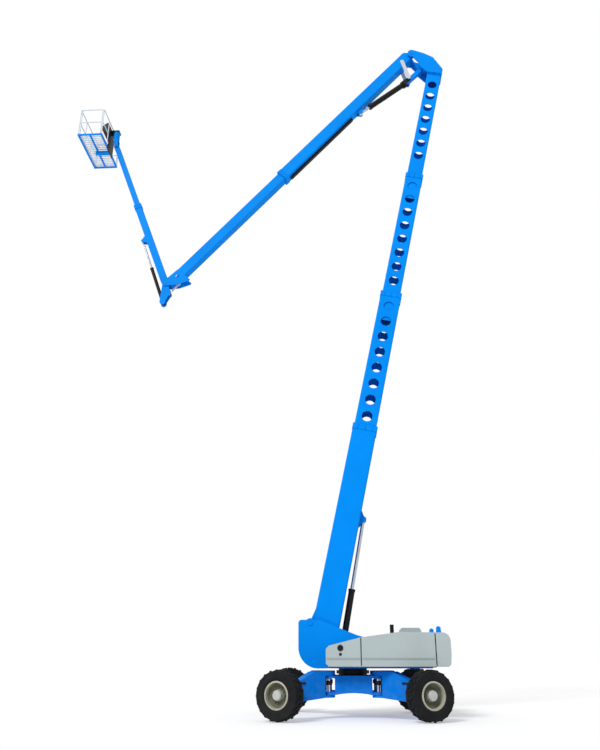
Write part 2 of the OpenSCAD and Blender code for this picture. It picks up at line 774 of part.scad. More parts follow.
module lift_barrel() {
    color(steel_black) lift_frame() barrel(lift_barrel_len, lift_barrel_d, lift_rod_d, lift_eye_r, lift_eye_w, lift_pin_d);
}

module lift_rod() {
    color(rod_silver) lift_frame() rod(lift_barrel_len - 220, lift_len, lift_rod_d, 75, 120);
}

// Elbow

module elbow_head() {
    seat = lower_tips[3];
    s4_top = -lower_drop + lower_depths[3] / 2;
    s4_low = -lower_drop - lower_depths[3] / 2;
    cheek_in = cheek_gap / 2;
    web = [[seat, s4_low - 20], [seat + 200, s4_low - 10], [elbow_u - 80, elbow_v - 800], [elbow_u + 60, elbow_v - 440]];
    color(boom_blue) lower_frame() {
        across(2 * cheek_in + 1) polygon([web[0], web[1], [seat + 270, s4_low + 60], [seat + 270, s4_top + 10],
            [seat, s4_top + 10]]);
        across(2 * cheek_in + 1) polygon([web[1], web[2], web[3], web[3] + [-60, 20], web[2] + [-60, 40],
            [seat + 180, s4_low + 50]]);
        pair(cheek_in, cheek_t) {
            polygon([web[0], web[1], web[2], web[3], [elbow_u + 140, elbow_v - 60], [elbow_u, elbow_v],
                [elbow_u - 140, elbow_v - 40], [knee_u + 40, knee_v + 100], [knee_u - 90, knee_v + 60],
                [seat, s4_top + 20]]);
            translate([elbow_u, elbow_v]) circle(r = 150);
            translate([knee_u, knee_v]) circle(r = 105);
        }
        cross_pin([elbow_u, elbow_v], boom_pin_d, 2 * cheek_in + 2 * cheek_t + 30);
    }
}

module knee_link() {
    color(deep_blue) slewed() {
        across(150) bar(knee_pin, common_pin, 150);
        cross_pin(knee_pin, 110, cheek_gap - 2 * pin_gap);
        cross_pin(common_pin, knee_pin_d, 2 * (clevis_in - pin_gap));
    }
}

module knee_bars() {
    seat = upper_width / 2 + pin_gap;
    color(rail_pale) slewed() {
        pair(bar_in, bar_t) bar(bars_pin, common_pin, 130);
        for (s = [-1, 1]) cross_pin(bars_pin, knee_pin_d, bar_in + 1 - seat, s * (seat + bar_in + 1) / 2);
    }
}

module upper_cyl_frame() {
    slewed() translate([common_pin[0], 0, common_pin[1]]) rotate([0, -upper_cyl_deg, 0]) children();
}

module upper_barrel() {
    reach = 230;
    clevis_r = 75;
    ring = 60;
    inside = reach + ring + 10;
    color(steel_black) upper_cyl_frame() difference() {
        union() {
            pair(clevis_in, clevis_t) {
                circle(r = clevis_r);
                translate([0, -clevis_r]) square([reach + 20, 2 * clevis_r]);
            }
            for (s = [-1, 1]) cross_pin([0, 0], knee_pin_d, bar_in - pin_gap - clevis_in - 1,
                s * (bar_in - pin_gap + clevis_in + 1) / 2);
            translate([reach, 0, 0]) rotate([0, 90, 0]) cylinder(d = 2 * (clevis_in + clevis_t), h = ring);
            translate([reach, 0, 0]) rotate([0, 90, 0]) cylinder(d = upper_barrel_d, h = upper_barrel_len - reach);
            translate([upper_barrel_len - 80, 0, 0]) rotate([0, 90, 0]) cylinder(d = upper_barrel_d * 1.1, h = 80);
        }
        translate([inside, 0, 0]) rotate([0, 90, 0]) cylinder(d = upper_rod_d * 1.3, h = upper_barrel_len - inside - 80);
        translate([inside, 0, 0]) rotate([0, 90, 0]) cylinder(d = upper_rod_d + 4 * pin_gap, h = upper_barrel_len);
    }
}

module upper_rod() {
    color(rod_silver) upper_cyl_frame() rod(600, upper_cyl_len, upper_rod_d, 70, 110);
}

// Upper boom

module upper_frame() {
    slewed() translate([elbow[0], 0, elbow[1]]) rotate([0, -upper_deg, 0]) rotate([0, 0, 180]) children();
}

module upper_outer() {
    root = 150;
    color(boom_blue) upper_frame() {
        translate([0, 0, upper_mid]) boom_tube(root, upper_tip, upper_width, upper_depth, upper_wall,
            upper_inner_width, upper_inner_depth);
        pair(ear_in, 50) difference() {
            union() {
                circle(r = 120);
                polygon([[-60, 100], [0, -120], [root + 10, upper_low + 20], [root + 10, upper_rise - 20], [90, upper_rise - 20]]);
            }
            circle(d = boom_pin_d + 2 * pin_gap);
        }
        across(upper_width - 2) polygon([[root, upper_low + 1], [root + 60, upper_low + 1], [root + 60, upper_rise - 1],
            [root, upper_rise - 1]]);
        for (s = [-1, 1]) cross_pin([upper_eye_s, -upper_eye_drop], knee_pin_d, 54, s * (55 + pin_gap + 27));
        pair(70, 40) {
            translate([upper_eye_s, -upper_eye_drop]) circle(r = 75);
            polygon([[upper_eye_s - 75, -upper_eye_drop], [upper_eye_s + 75, -upper_eye_drop],
                [upper_eye_s + 180, upper_low + 5], [upper_eye_s - 100, upper_low + 5]]);
        }
    }
}

module cable_carrier() {
    start = upper_eye_s + 420;
    color(steel_black) upper_frame() translate([start, -60, upper_low - 76])
        cube([upper_tip - collar_len - 60 - start, 120, 76]);
}

module upper_inner() {
    color(boom_blue) upper_frame() translate([0, 0, upper_mid])
        end_tube(upper_tip - upper_overlap, upper_inner_tip, upper_inner_width, upper_inner_depth, upper_wall);
}

module boom_nose() {
    half = upper_inner_depth / 2;
    end = upper_inner_tip;
    color(boom_blue) upper_frame() {
        across(2 * nose_in + 1) polygon([[end, upper_mid - half], [end + 90, upper_mid - half],
            [end + 90, upper_mid + half], [end, upper_mid + half]]);
        pair(nose_in, nose_t) difference() {
            union() {
                polygon([[end, upper_mid + half], [end + 320, upper_mid + half + 25], [jib_pivot_s, jib_pivot_t + 95],
                    [jib_pivot_s + 60, jib_pivot_t - 70], [level_base_s + 90, level_base_t - 60],
                    [end + 60, level_base_t - 240], [end, level_base_t - 230]]);
                translate([jib_pivot_s, jib_pivot_t]) circle(r = 95);
            }
            translate([end + 190, 120]) circle(r = 60);
        }
        cross_pin([jib_pivot_s, jib_pivot_t], 80, 2 * nose_in + 2 * nose_t + 20);
        cross_pin([level_base_s, level_base_t], 40, 2 * nose_in + 2 * nose_t);
    }
}

// Jib

module bellcrank() {
    color(boom_blue) slewed() {
        difference() {
            pair(bell_in, bell_t) {
                bar(jib_pivot, jib_base, 190);
                bar(jib_pivot, level_eye, 150);
                bar(jib_base, level_eye, 120);
            }
            cross_pin(jib_pivot, 80 + 2 * pin_gap, 600);
        }
        cross_pin(jib_base, 50, 2 * bell_in + 1);
        cross_pin((jib_base + level_eye) / 2, 60, 2 * bell_in + 1);
        for (s = [-1, 1]) cross_pin(level_eye, 40, bell_in - 30 - pin_gap + 1, s * (bell_in + 31 + pin_gap) / 2);
    }
}

module level_frame() {
    slewed() translate([level_base[0], 0, level_base[1]]) rotate([0, -level_deg, 0]) children();
}

module level_barrel() {
    color(cover_grey) level_frame() barrel(level_barrel_len, level_barrel_d, level_rod_d, 42, 70, 40);
}

module level_rod() {
    color(rod_silver) level_frame() rod(170, level_len, level_rod_d, 34, 60);
}

module jib_frame() {
    slewed() translate([jib_pivot[0], 0, jib_pivot[1]]) rotate([0, -jib_deg, 0]) children();
}

module jib_outer() {
    root = 140;
    color(boom_blue) jib_frame() {
        boom_tube(root, jib_outer_tip, jib_width, jib_depth, jib_wall, jib_inner_width, jib_inner_depth);
        difference() {
            across(jib_width) {
                circle(r = 95);
                polygon([[0, -95], [root, -jib_depth / 2 + 2], [root, jib_depth / 2 - 2], [0, 95]]);
            }
            cross_pin([0, 0], 80 + 2 * pin_gap, 600);
        }
        for (s = [-1, 1]) cross_pin([jib_eye_s, jib_eye_t], 50, 36, s * (33 + pin_gap + 18));
        pair(68, 16) {
            translate([jib_eye_s, jib_eye_t]) circle(r = 55);
            polygon([[jib_eye_s - 55, jib_eye_t], [jib_eye_s - 130, jib_depth / 2 - 14],
                [jib_eye_s + 160, jib_depth / 2 - 14], [jib_eye_s + 55, jib_eye_t]]);
        }
    }
}

module jib_inner() {
    color(boom_blue) jib_frame() {
        end_tube(jib_outer_tip - 790, jib_len - 120, jib_inner_width, jib_inner_depth, jib_wall);
        difference() {
            across(jib_inner_width) {
                translate([jib_len, 0]) circle(r = 80);
                polygon([[jib_len - 121, -jib_inner_depth / 2], [jib_len, -80], [jib_len, 80],
                    [jib_len - 121, jib_inner_depth / 2]]);
            }
            cross_pin([jib_len, 0], 60 + 2 * pin_gap, 600);
        }
    }
}

module jib_cyl_frame() {
    slewed() translate([jib_base[0], 0, jib_base[1]]) rotate([0, -jib_cyl_deg, 0]) children();
}

module jib_barrel() {
    color(steel_black) jib_cyl_frame() barrel(jib_barrel_len, jib_barrel_d, jib_rod_d, 55, 100, 50);
}

module jib_rod() {
    color(rod_silver) jib_cyl_frame() rod(jib_barrel_len - 140, jib_cyl_len, jib_rod_d, 45, 66);
}

// Platform

module platform_bracket() {
    color(boom_blue) slewed() {
        pair(bracket_in, bracket_t) {
            translate(tip) circle(r = 75);
            polygon([[tip[0] - 60, tip[1]], [tip[0] + 60, tip[1]], [rotator_x + 90, rotator_low + 10],
                [rotator_x - 80, rotator_low + 10]]);
        }
        cross_pin(tip, 60, 2 * (bracket_in + bracket_t) + 20);
        translate([rotator_x, 0, rotator_low]) difference() {
            cylinder(r = rotator_r, h = rotator_high - rotator_low);
            translate([0, 0, 80]) cylinder(d = 70 + 2 * pin_gap, h = rotator_high);
        }
    }
}

module platform_base() {
    mid_x = (front_x + back_x) / 2;
    color(deep_blue) slewed() {
        difference() {
            translate([front_x, -half_len, platform_z]) cube([platform_depth, platform_len, frame_tube]);
            translate([front_x + frame_tube, -half_len + frame_tube, platform_z - 1])
                cube([platform_depth - 2 * frame_tube, platform_len - 2 * frame_tube, frame_tube + 2]);
        }
        translate([mid_x - frame_tube / 2, -half_len + 1, platform_z]) cube([frame_tube, platform_len - 2, frame_tube]);
        translate([mid_x - 60, -60, platform_z - beam_h]) cube([back_x - mid_x + 60, 120, beam_h + 1]);
    }
}

module platform_yoke() {
    color(steel_black) slewed() {
        translate([back_x, -260, platform_z - beam_h]) cube([22, 520, rotator_high + 60 - platform_z + beam_h]);
        translate([back_x, -120, rotator_high + 1]) cube([rotator_x + rotator_r - back_x, 240, 50]);
        translate([rotator_x, 0, rotator_low + 130]) cylinder(d = 70, h = rotator_high - rotator_low - 100);
    }
}

module platform_floor() {
    slats = 18;
    inset = rail_d + 4;
    span = platform_len - 2 * inset;
    pitch = span / slats;
    color(rail_pale) slewed() {
        for (i = [0:slats - 1]) translate([front_x + inset, -half_len + inset + i * pitch, floor_z])
            cube([platform_depth - 2 * inset, pitch * 0.6, 12]);
        for (x = [front_x + inset, (front_x + back_x) / 2 - 15, back_x - inset - 30])
            translate([x, -half_len + inset, floor_z]) cube([30, span, 8]);
    }
}

// A guard rail panel drawn in the Y and Z plane, from y0 to y1
module rail_panel(x, y0, y1, posts, foot = 0) {
    run = y1 - y0;
    for (z = [rail_top - rail_d / 2, rail_mid]) translate([x, y0, z]) rotate([-90, 0, 0]) cylinder(d = rail_d, h = run);
    for (i = [0:posts - 1]) translate([x, y0 + rail_d / 2 + i * (run - rail_d) / (posts - 1), floor_z + foot])
        cylinder(d = rail_d * post_ratio, h = rail_top - rail_d / 2 - floor_z - foot);
}

module rail_front() {
    color(rail_pale) slewed() {
        rail_panel(front_x + rail_d / 2, -half_len, half_len, 4);
        for (z = [floor_z + 160, rail_top - 160]) translate([0, gate_y, z]) difference() {
            union() {
                translate([gate_x, 0, 0]) cylinder(r = rail_d * 0.75, h = 12);
                translate([front_x + rail_d / 2, -8, 0]) cube([gate_x - front_x - rail_d / 2, 16, 12]);
            }
            translate([gate_x, 0, -1]) cylinder(d = rail_d * post_ratio + 2 * pin_gap, h = 14);
        }
    }
}

module rail_back() {
    color(rail_pale) slewed() rail_panel(back_x - rail_d / 2 - 2, -half_len, half_len, 4);
}

// A guard rail panel along X at one end of the platform
module end_panel(x0, x1, y, foot = 0) {
    translate([0, y, 0]) rotate([0, 0, -90]) rail_panel(0, x0, x1, 2, foot);
}

module rail_far() {
    color(rail_pale) slewed() end_panel(front_x + rail_d + 4, back_x - rail_d - 6, half_len - rail_d / 2);
}

module gate() {
    color(rail_pale) slewed()
        end_panel(front_x + rail_d + gate_gap, back_x - rail_d - 10, gate_y, 20);
}

module console() {
    w = 620;
    color(steel_black) slewed() translate([back_x - 2 - rail_d / 2 * (1 + post_ratio) - pin_gap, 0, 0]) across(w) polygon([
        [0, rail_mid + 60], [-220, rail_mid + 180], [-220, rail_top - 230], [-60, rail_top - 90], [0, rail_top - 90]]);
}

// Assembly

chassis();
slew_ring();
leg(left, near);  // leg_near_left
leg(right, near);  // leg_near_right
leg(left, far);  // leg_far_left
leg(right, far);  // leg_far_right
knuckle(left, near);  // knuckle_near_left
knuckle(right, near);  // knuckle_near_right
knuckle(left, far);  // knuckle_far_left
knuckle(right, far);  // knuckle_far_right
rim(left, near);  // rim_near_left
rim(right, near);  // rim_near_right
rim(left, far);  // rim_far_left
rim(right, far);  // rim_far_right
tyre(left, near);  // tyre_near_left
tyre(right, near);  // tyre_near_right
tyre(left, far);  // tyre_far_left
tyre(right, far);  // tyre_far_right
turntable();
counterweight();
lifting_lugs();
engine();
cover(near);  // cover_near
cover(far);  // cover_far
hood(near);  // hood_near
hood(far);  // hood_far
exhaust_stack();
lift_barrel();
lift_rod();
lower_base();
lower_section(1, 8);  // lower_second
lower_section(2, 8);  // lower_third
lower_section(3, 7);  // lower_fourth
elbow_head();
knee_link();
knee_bars();
upper_barrel();
upper_rod();
upper_outer();
cable_carrier();
upper_inner();
boom_nose();
bellcrank();
level_barrel();
level_rod();
jib_outer();
jib_inner();
jib_barrel();
jib_rod();
platform_bracket();
platform_yoke();
platform_base();
platform_floor();
rail_front();
rail_back();
rail_far();
gate();
console();
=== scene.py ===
# %% [markdown]
# # Dressing an articulating boom lift
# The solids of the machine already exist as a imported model, and this lesson gives them their
# finishes and the small pieces that a maker bolts on last: treaded tyres, wheel nuts, leg pins,
# panel seals, wear-pad bolts and the links of the cable carrier. The frame is loaded first,
# because each piece takes its place from the joints and boxes that it holds.

# %% Load the frame
import json
import math

import bpy
from mathutils import Matrix, Vector


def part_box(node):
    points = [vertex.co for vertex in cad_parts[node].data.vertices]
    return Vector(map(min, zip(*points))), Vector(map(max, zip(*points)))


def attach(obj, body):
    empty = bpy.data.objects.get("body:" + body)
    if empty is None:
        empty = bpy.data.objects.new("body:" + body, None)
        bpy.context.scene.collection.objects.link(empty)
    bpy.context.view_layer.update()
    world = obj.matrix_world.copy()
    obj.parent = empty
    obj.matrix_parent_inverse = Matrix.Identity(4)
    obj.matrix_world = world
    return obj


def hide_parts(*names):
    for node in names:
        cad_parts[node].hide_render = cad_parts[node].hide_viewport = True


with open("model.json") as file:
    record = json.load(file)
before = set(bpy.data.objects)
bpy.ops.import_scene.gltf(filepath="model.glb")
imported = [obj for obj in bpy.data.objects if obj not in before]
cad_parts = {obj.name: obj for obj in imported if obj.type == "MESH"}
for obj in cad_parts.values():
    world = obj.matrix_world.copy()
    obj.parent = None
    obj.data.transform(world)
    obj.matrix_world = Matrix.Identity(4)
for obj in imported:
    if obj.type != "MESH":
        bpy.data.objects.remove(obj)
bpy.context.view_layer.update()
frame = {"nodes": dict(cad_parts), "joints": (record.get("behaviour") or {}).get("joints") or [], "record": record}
joints = {j["name"]: j for j in frame["joints"]}
corners = [side + "_" + end for side in ("near", "far") for end in ("left", "right")]

# %% [markdown]
# ## Shader arithmetic
# A finish is easier to read as a formula than as a chain of nodes. One small class wraps a
# socket, so that `0.3 + 0.2 * grain` adds the Math nodes by itself, and one method makes
# every other kind of node, in a material and in the sky alike.

# %% Socket wrapper and node helpers
BLACK = (0.0, 0.0, 0.0, 1.0)
WHITE = (1.0, 1.0, 1.0, 1.0)
NOISE_DETAIL = 4.0
SHOWN_RAYS = ("Is Camera Ray", "Is Glossy Ray", "Is Transmission Ray")


class Value:
    """A node's output with arithmetic."""

    def __init__(self, nodes, socket):
        self.nodes = nodes
        self.socket = socket

    def _math(self, operation, other):
        return self.nodes.node("ShaderNodeMath", {"operation": operation}, {0: self, 1: other})

    def __add__(self, other):
        return self._math("ADD", other)

    def __mul__(self, other):
        return self._math("MULTIPLY", other)

    __radd__ = __add__
    __rmul__ = __mul__


class Nodes:
    """A node tree, with one method that makes its nodes."""

    def __init__(self, tree):
        self.tree = tree

    def put(self, socket, value):
        if isinstance(value, Value):
            self.tree.links.new(value.socket, socket)
        else:
            socket.default_value = value

    def node(self, kind, settings=None, inputs=None, output=0):
        made = self.tree.nodes.new(kind)
        for key, value in (settings or {}).items():
            if key == "stops":
                for element, (position, colour) in zip(made.color_ramp.elements, value):
                    element.position = position
                    element.color = colour
            else:
                setattr(made, key, value)
        for key, value in (inputs or {}).items():
            self.put(made.inputs[key], value)
        return Value(self, made.outputs[output])

    def rise(self, value, start, end, low=0.0, high=1.0):
        """Goes from low, where a value is at start, to high, where it is at end."""
        return self.node("ShaderNodeMapRange", {}, {0: value, 1: start, 2: end, 3: low, 4: high})

    def clamped(self, operation, first, second):
        """A sum or product that is kept between 0 and 1."""
        return self.node("ShaderNodeMath", {"operation": operation, "use_clamp": True},
                         {0: first, 1: second})

    def shown(self):
        """1 where the camera, a mirror or glass sees a surface, and 0 where it only lights."""
        camera, mirror, glass = (self.node("ShaderNodeLightPath", output=ray)
                                 for ray in SHOWN_RAYS)
        return camera + mirror + glass


class Finish(Nodes):
    """A material with one Principled shader."""

    def __init__(self, name):
        self.material = bpy.data.materials.new(name)
        self.material.use_nodes = True
        super().__init__(self.material.node_tree)
        self.shader = next(n for n in self.tree.nodes if n.type == "BSDF_PRINCIPLED")
        self.place = self.node("ShaderNodeTexCoord", output="Object")

    def set(self, name, value):
        self.put(self.shader.inputs[name], value)

    def noise(self, scale):
        return self.node("ShaderNodeTexNoise", {},
                         {"Vector": self.place, "Scale": scale, "Detail": NOISE_DETAIL}, "Fac")

    def patches(self, scale, low, high):
        """Noise that is 0 up to one level and 1 from another."""
        return self.node("ShaderNodeValToRGB", {"stops": [(low, BLACK), (high, WHITE)]},
                         {"Fac": self.noise(scale)})

    def mix(self, mask, first, second):
        return self.node("ShaderNodeMix", {"data_type": "RGBA"}, {0: mask, 6: first, 7: second}, 2)

    def height(self):
        return self.node("ShaderNodeSeparateXYZ", {}, {0: self.place}, "Z")

    def uneven(self, base, scale, spread):
        """A roughness that wanders up from its base."""
        return base + spread * self.noise(scale)

    def grain(self, scale, strength, depth):
        self.set("Normal", self.node("ShaderNodeBump", {}, {
            "Strength": strength, "Distance": depth, "Height": self.noise(scale)}))


print("node helpers ready")

# %% [markdown]
# ## Enamel
# Sprayed enamel on a site machine is glossy but never perfect: it has a faint orange peel,
# a little fading in patches, and dust that thickens towards the ground. The same recipe,
# given another colour and gloss, paints the booms, the chassis and the other steel parts.
# Patches are named by the noise's scale and the two levels between which they come in.

# %% Enamel
FADE = (0.9, 0.35, 0.7)
FADE_TINTS = (0.93, 1.05)
GRIME = (6.0, 0.38, 0.75)
SPECKS = (40.0, 0.62, 0.72)
SPECK_SHARE = 0.25
DUST = (0.36, 0.32, 0.26, 1.0)
DUST_TOP = 1.3
DUST_FOOT = 0.2
DUST_ROUGH = 0.3
ENAMEL_SHEEN = (14.0, 0.16)
ORANGE_PEEL = (220.0, 0.06, 0.002)


def tints(colour, factors):
    """A colour made darker and lighter, for the two ends of a mix."""
    return [tuple(c * factor for c in colour) + (1.0,) for factor in factors]


def paint(name, colour, gloss, dust, shine=0.4, metallic=0.0):
    finish = Finish(name)
    body = finish.mix(finish.patches(*FADE), *tints(colour, FADE_TINTS))
    low = finish.rise(finish.height(), DUST_TOP, DUST_FOOT)
    film = finish.clamped("MULTIPLY", low * finish.patches(*GRIME), dust)
    specks = finish.patches(*SPECKS) * (SPECK_SHARE * dust)
    cover = finish.clamped("ADD", film, specks)
    finish.set("Base Color", finish.mix(cover, body, DUST))
    finish.set("Roughness", finish.uneven(gloss, *ENAMEL_SHEEN) + DUST_ROUGH * cover)
    finish.set("Metallic", metallic)
    finish.set("Specular IOR Level", shine)
    finish.grain(*ORANGE_PEEL)
    return finish.material


finishes = {
    "boom_blue": paint("boom_enamel", (0.0, 0.225, 0.76), 0.36, 0.06, shine=0.03),
    "chassis_blue": paint("chassis_enamel", (0.0, 0.16, 0.6), 0.38, 0.12, shine=0.03),
    "black_steel": paint("black_steel_paint", (0.009, 0.009, 0.011), 0.36, 0.12, shine=0.12),
    "engine_block": paint("engine_dark", (0.02, 0.02, 0.022), 0.55, 0.3, metallic=0.3),
    "link_grey": paint("link_light_grey", (0.45, 0.5, 0.56), 0.34, 0.12),
    "rail_paint": paint("rail_pale_paint", (0.56, 0.62, 0.69), 0.38, 0.1),
}
print("enamels:", ", ".join(finishes))

# %% [markdown]
# ## Wheel paint
# The dish of a wheel is painted dark, for the dust that gathers there and as painted shade in its recess, while
# its lip is rubbed clean and its hub stays pale.
# The colour therefore goes by the distance from the axle, which is the length of the cross
# product of the axle's direction and the way from its middle, so each wheel has its own.

# %% Wheel paint
HUB_EDGE = (0.121, 0.135)
LIP_EDGE = (0.272, 0.282)
WORN = (9.0, 0.35, 0.7)
HUB_TONES = ((0.36, 0.38, 0.36, 1.0), (0.44, 0.46, 0.44, 1.0))
# dish tones: dust and painted shade, the dark olive standing for the shade in the wheel's recess as well as its
# dust
DISH_DUST_AND_SHADE_TONES = ((0.075, 0.075, 0.05, 1.0), (0.13, 0.125, 0.09, 1.0))
LIP_TONES = ((0.34, 0.34, 0.27, 1.0), (0.42, 0.42, 0.34, 1.0))
WHEEL_ROUGH = 0.45
WHEEL_WORN_ROUGH = 0.25
WHEEL_SHINE = 0.25
WHEEL_GRAIN = (180.0, 0.08, 0.002)


def wheel_paint(corner):
    roll = joints["spin_" + corner]
    finish = Finish("rim_beige_" + corner)
    arm = finish.node("ShaderNodeVectorMath", {"operation": "SUBTRACT"},
                      {0: finish.place, 1: roll["pos_m"]})
    across = finish.node("ShaderNodeVectorMath", {"operation": "CROSS_PRODUCT"},
                         {0: arm, 1: roll["axis"]})
    reach = finish.node("ShaderNodeVectorMath", {"operation": "LENGTH"}, {0: across}, "Value")
    worn = finish.patches(*WORN)
    hub, dish, lip = (finish.mix(worn, *tones) for tones in (HUB_TONES, DISH_DUST_AND_SHADE_TONES, LIP_TONES))
    # the dish between hub and lip gets its dark tones: dust and painted shade in the recess together
    inner = finish.mix(finish.rise(reach, *HUB_EDGE), hub, dish)
    finish.set("Base Color", finish.mix(finish.rise(reach, *LIP_EDGE), inner, lip))
    finish.set("Roughness", WHEEL_ROUGH + WHEEL_WORN_ROUGH * worn)
    finish.set("Specular IOR Level", WHEEL_SHINE)
    finish.grain(*WHEEL_GRAIN)
    return finish.material


for corner in corners:
    finishes["wheel_" + corner] = wheel_paint(corner)
print("wheels painted:", len(corners))

# %% [markdown]
# ## Rubber, chrome and mouldings
# Rubber is matt and blooms grey in patches, a chromed rod carries a film of oil, and the
# moulded covers fade in the sun and have a fine grain. Each is one short recipe, and then
# every solid of the frame gets the finish that its record names.

# %% Rubber, chrome and mouldings
BLOOM = (3.0, 0.4, 0.75)
RUBBER_TONES = ((0.006, 0.0065, 0.0075, 1.0), (0.014, 0.014, 0.015, 1.0))
RUBBER_ROUGH = (0.72, 25.0, 0.18)
RUBBER_SHINE = 0.15
RUBBER_GRAIN = (160.0, 0.25, 0.003)
OIL = (5.0, 0.45, 0.8)
CHROME_TONES = ((0.46, 0.49, 0.53, 1.0), (0.36, 0.38, 0.4, 1.0))
CHROME_ROUGH = (0.14, 60.0, 0.14)
SUN_FADE = (1.3, 0.3, 0.75)
SUN_TINTS = (0.94, 1.04)
MOULD_ROUGH = (0.42, 30.0, 0.14)
MOULD_GRAIN = (420.0, 0.1, 0.001)
COVER_GREY = (0.355, 0.415, 0.42)


def rubber(name):
    finish = Finish(name)
    finish.set("Base Color", finish.mix(finish.patches(*BLOOM), *RUBBER_TONES))
    finish.set("Roughness", finish.uneven(*RUBBER_ROUGH))
    finish.set("Specular IOR Level", RUBBER_SHINE)
    finish.grain(*RUBBER_GRAIN)
    return finish.material


def chrome(name):
    finish = Finish(name)
    finish.set("Base Color", finish.mix(finish.patches(*OIL), *CHROME_TONES))
    finish.set("Metallic", 1.0)
    finish.set("Roughness", finish.uneven(*CHROME_ROUGH))
    return finish.material


def moulded(name, colour, shine=0.5):
    finish = Finish(name)
    finish.set("Base Color", finish.mix(finish.patches(*SUN_FADE), *tints(colour, SUN_TINTS)))
    finish.set("Roughness", finish.uneven(*MOULD_ROUGH))
    finish.set("Specular IOR Level", shine)
    finish.grain(*MOULD_GRAIN)
    return finish.material


finishes.update({
    "tyre_rubber": rubber("tyre_rubber_black"),
    "seal_rubber": rubber("seal_rubber_black"),
    "rod_chrome": chrome("rod_chrome_plate"),
    "counterweight_grey": moulded("counterweight_enamel", COVER_GREY),
    "cover_grey": moulded("moulded_grey", COVER_GREY),
    # painted shade: the belt line is a darker grey than the covers, so that the raised strip looks like a groove
    # in shade
    "belt_painted_shade": moulded("belt_shade_grey", (0.26, 0.31, 0.315)),
    "console_plastic": moulded("console_black", (0.012, 0.012, 0.014), shine=0.12),
})


def finish_piece(piece, name):
    piece.data.materials.clear()
    piece.data.materials.append(finishes[name])


rim_finishes = {"rim_" + corner: "wheel_" + corner for corner in corners}
for entry in frame["record"]["subparts"]:
    node = entry["node"]
    finish_piece(frame["nodes"][node], rim_finishes.get(node, entry["material_slot"]))
print("finishes:", ", ".join(finishes))

# %% [markdown]
# ## Modelling helpers
# Each new piece starts as a primitive and is shaped in edit mode, as by hand. A block gets
# its edges bevelled, a bolt head gets an inset crown. What repeats is modelled once, and
# each copy's place is written into its own mesh before the copies are joined.

# %% Selecting
ORIGIN = (0.0, 0.0, 0.0)
FACING = 0.9
LEVEL = 0.001


def clear_selection():
    if bpy.context.object and bpy.context.object.mode != "OBJECT":
        bpy.ops.object.mode_set(mode="OBJECT")
    bpy.ops.object.select_all(action="DESELECT")


def settle(piece):
    """Writes an object's place, turn and size into its mesh, and leaves it active."""
    clear_selection()
    piece.select_set(True)
    bpy.context.view_layer.objects.active = piece
    bpy.ops.object.transform_apply(location=True, rotation=True, scale=True)
    return piece


def start_picking(kind):
    """Leaves nothing selected, and faces or edges as what is picked next."""
    bpy.ops.object.mode_set(mode="EDIT")
    bpy.ops.mesh.select_mode(type=kind)
    bpy.ops.mesh.select_all(action="DESELECT")
    bpy.ops.object.mode_set(mode="OBJECT")


def select_faces(piece, wanted):
    """Selects the faces whose normal a test accepts, in edit mode."""
    start_picking("FACE")
    for face in piece.data.polygons:
        face.select = bool(wanted(face.normal))
    bpy.ops.object.mode_set(mode="EDIT")


def select_edges(piece, wanted):
    """Selects the edges whose two ends a test accepts, in edit mode."""
    start_picking("EDGE")
    points = piece.data.vertices
    for edge in piece.data.edges:
        edge.select = bool(wanted(*[points[i].co for i in edge.vertices]))
    bpy.ops.object.mode_set(mode="EDIT")


print("selecting helpers ready")

# %% Shaping and placing
ROUND_STEPS = 2
DRUM_SIDES = 40
HEX = 6
CROWN_IN = 0.18
CROWN_UP = 0.2


def block(name, centre, size, edge, lean=0.0):
    """A block with round edges, leant about Y by a number of degrees above +X."""
    clear_selection()
    bpy.ops.mesh.primitive_cube_add(size=1.0, location=centre)
    piece = bpy.context.object
    piece.name = name
    piece.scale = size
    piece.rotation_euler = (0.0, -math.radians(lean), 0.0)
    settle(piece)
    bpy.ops.object.mode_set(mode="EDIT")
    bpy.ops.mesh.select_all(action="SELECT")
    bpy.ops.mesh.bevel(offset=edge, segments=ROUND_STEPS, affect="EDGES")
    bpy.ops.object.mode_set(mode="OBJECT")
    return piece


def drum(name, radius, depth, centre=ORIGIN, turn=ORIGIN, sides=DRUM_SIDES):
    """A cylinder to start from, along Z unless it is turned."""
    clear_selection()
    bpy.ops.mesh.primitive_cylinder_add(vertices=sides, radius=radius, depth=depth,
                                        location=centre, rotation=turn)
    piece = settle(bpy.context.object)
    piece.name = name
    return piece


def bolt_head(name, radius, height):
    """A hexagon head on the XY plane with an inset, raised crown."""
    piece = drum(name, radius, height, (0.0, 0.0, height / 2), sides=HEX)
    select_faces(piece, lambda normal: normal.z > FACING)
    bpy.ops.mesh.inset(thickness=radius * CROWN_IN, depth=height * CROWN_UP)
    bpy.ops.object.mode_set(mode="OBJECT")
    return piece


def join(pieces):
    """Joins pieces into the first of them."""
    clear_selection()
    for piece in pieces:
        piece.select_set(True)
    bpy.context.view_layer.objects.active = pieces[0]
    bpy.ops.object.join()
    return pieces[0]


def copies(pattern, places, name, keep=False):
    """Copies a pattern to each place, with its own mesh, and joins the copies into one piece."""
    made = []
    for place in places:
        mesh = pattern.data.copy()
        mesh.transform(place)
        made.append(bpy.data.objects.new(name, mesh))
        bpy.context.scene.collection.objects.link(made[-1])
    piece = join(made)
    piece.name = name
    if not keep:
        bpy.data.objects.remove(pattern)
    return piece


def facing(point, direction):
    """A place at a point, with local Z along a direction."""
    turn = Vector(direction).to_track_quat("Z", "Y").to_matrix().to_4x4()
    return Matrix.Translation(Vector(point)) @ turn


def fit(piece, body, slot, finish=None):
    """Gives a piece the body that it moves with, and the finish of its slot or the finish named."""
    finish_piece(piece, finish or slot)
    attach(piece, body)
    return piece


print("shaping helpers ready")

# %% [markdown]
# ## Treaded tyres
# Rough-terrain tyres have a smooth carcass with tall slanted lugs. The carcass starts as a
# cylinder whose caps are inset to the bead and bridged into a hole, and its shoulders are
# bevelled. One lug is a bevelled block, turned for the chevron and copied round both halves.

